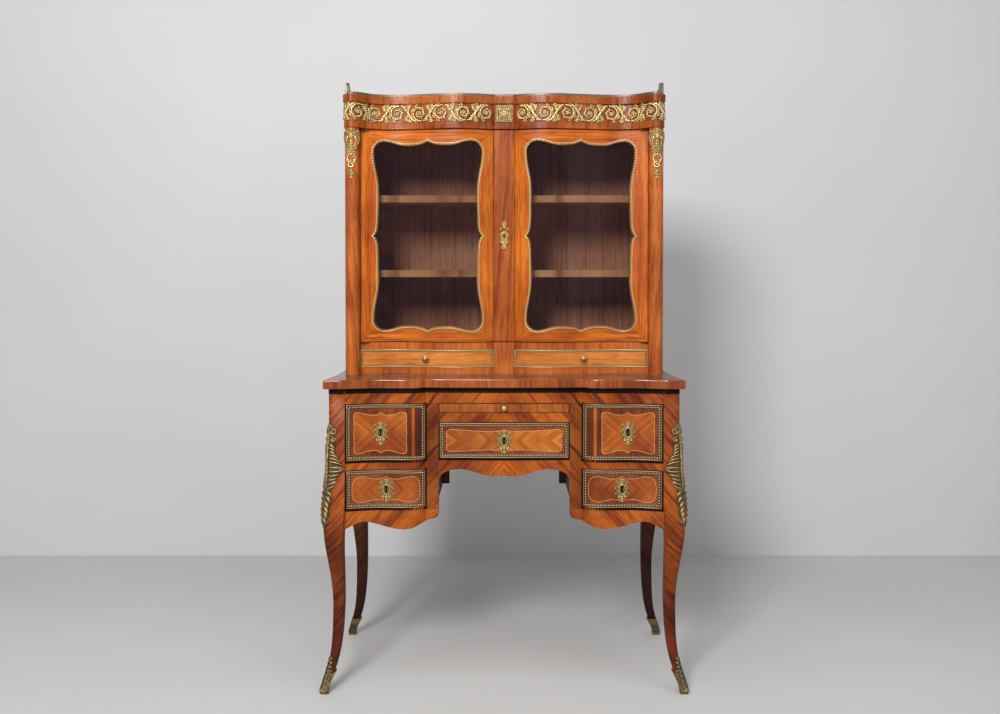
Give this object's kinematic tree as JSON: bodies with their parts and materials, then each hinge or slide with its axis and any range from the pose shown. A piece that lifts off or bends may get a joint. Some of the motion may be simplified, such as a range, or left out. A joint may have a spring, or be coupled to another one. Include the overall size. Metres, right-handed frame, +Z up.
{
  "type": "bonheur du jour",
  "caption": "Serpentine writing desk on cabriole legs with kneehole, drawers and a writing slide, carrying a glazed two-door cabinet with small drawers and bronze mounts.",
  "frame": {"origin": "centre of the footprint on the floor", "axes": "+Z up, the front with the doors and drawers faces -Y, +X to the right of someone facing the desk"},
  "size_m": [0.898, 0.484, 1.5],
  "materials": {
    "kingwood": "diagonal kingwood veneer, waxed",
    "tulipwood": "light orange tulipwood veneer, french polished",
    "top_wood": "dull polished top with cross-banded edge",
    "dark_wood": "darkened wood",
    "inner_wood": "oak and walnut interior, oiled",
    "bronze": "patinated cast bronze",
    "gilt": "gilt bronze",
    "glass": "clear curved glass"
  },
  "bodies": {
    "carcass": {"front_left_leg": "kingwood", "front_right_leg": "kingwood", "back_left_leg": "kingwood", "back_right_leg": "kingwood", "front_top_rail": "kingwood", "kneehole_stiles": "kingwood", "drawer_rails": "kingwood", "kneehole_apron": "kingwood", "pedestal_aprons": "kingwood", "desk_sides": "kingwood", "lower_moulding": "kingwood", "frieze": "kingwood", "cornice": "kingwood", "desk_top": "top_wood", "desk_back": "inner_wood", "kneehole_walls": "inner_wood", "dust_boards": "inner_wood", "cabinet_back": "inner_wood", "cabinet_boards": "inner_wood", "shelves": "inner_wood", "left_corner_stile": "tulipwood", "right_corner_stile": "tulipwood", "cabinet_sides": "tulipwood", "cabinet_rails": "tulipwood", "gallery": "dark_wood", "sabots": "bronze", "knee_mounts": "bronze", "frieze_mounts": "gilt", "corner_mounts": "gilt", "door_pivots": "gilt"},
    "left_door": {"left_door_frame": "tulipwood", "left_door_glass": "glass", "left_door_mounts": "gilt"},
    "right_door": {"right_door_frame": "tulipwood", "right_door_glass": "glass", "right_door_mounts": "gilt", "meeting_stile": "tulipwood"},
    "slide": {"writing_slide": "kingwood", "slide_knob": "gilt"},
    "upper_left_drawer": {"upper_left_drawer_front": "kingwood", "upper_left_drawer_box": "inner_wood", "upper_left_drawer_mounts": "bronze"},
    "lower_left_drawer": {"lower_left_drawer_front": "kingwood", "lower_left_drawer_box": "inner_wood", "lower_left_drawer_mounts": "bronze"},
    "upper_right_drawer": {"upper_right_drawer_front": "kingwood", "upper_right_drawer_box": "inner_wood", "upper_right_drawer_mounts": "bronze"},
    "lower_right_drawer": {"lower_right_drawer_front": "kingwood", "lower_right_drawer_box": "inner_wood", "lower_right_drawer_mounts": "bronze"},
    "centre_drawer": {"centre_drawer_front": "kingwood", "centre_drawer_box": "inner_wood", "centre_drawer_mounts": "bronze"},
    "left_small_drawer": {"left_small_drawer_front": "tulipwood", "left_small_drawer_box": "inner_wood", "left_small_drawer_mounts": "bronze"},
    "right_small_drawer": {"right_small_drawer_front": "tulipwood", "right_small_drawer_box": "inner_wood", "right_small_drawer_mounts": "bronze"}
  },
  "joints": [
    {"name": "left_door_hinge", "type": "hinge", "parent": "carcass", "child": "left_door", "pos_m": [-0.3623, -0.0645, 1.1], "axis": [0, 0, -1], "range_deg": [0, 90]},
    {"name": "right_door_hinge", "type": "hinge", "parent": "carcass", "child": "right_door", "pos_m": [0.3623, -0.0645, 1.1], "axis": [0, 0, 1], "range_deg": [0, 90]},
    {"name": "slide_pull", "type": "slide", "parent": "carcass", "child": "slide", "axis": [0, -1, 0], "range_m": [0, 0.25]},
    {"name": "upper_left_drawer_slide", "type": "slide", "parent": "carcass", "child": "upper_left_drawer", "axis": [0, -1, 0], "range_m": [0, 0.25]},
    {"name": "lower_left_drawer_slide", "type": "slide", "parent": "carcass", "child": "lower_left_drawer", "axis": [0, -1, 0], "range_m": [0, 0.25]},
    {"name": "upper_right_drawer_slide", "type": "slide", "parent": "carcass", "child": "upper_right_drawer", "axis": [0, -1, 0], "range_m": [0, 0.25]},
    {"name": "lower_right_drawer_slide", "type": "slide", "parent": "carcass", "child": "lower_right_drawer", "axis": [0, -1, 0], "range_m": [0, 0.25]},
    {"name": "centre_drawer_slide", "type": "slide", "parent": "carcass", "child": "centre_drawer", "axis": [0, -1, 0], "range_m": [0, 0.25]},
    {"name": "left_small_drawer_slide", "type": "slide", "parent": "carcass", "child": "left_small_drawer", "axis": [0, -1, 0], "range_m": [0, 0.14]},
    {"name": "right_small_drawer_slide", "type": "slide", "parent": "carcass", "child": "right_small_drawer", "axis": [0, -1, 0], "range_m": [0, 0.14]}
  ]
}
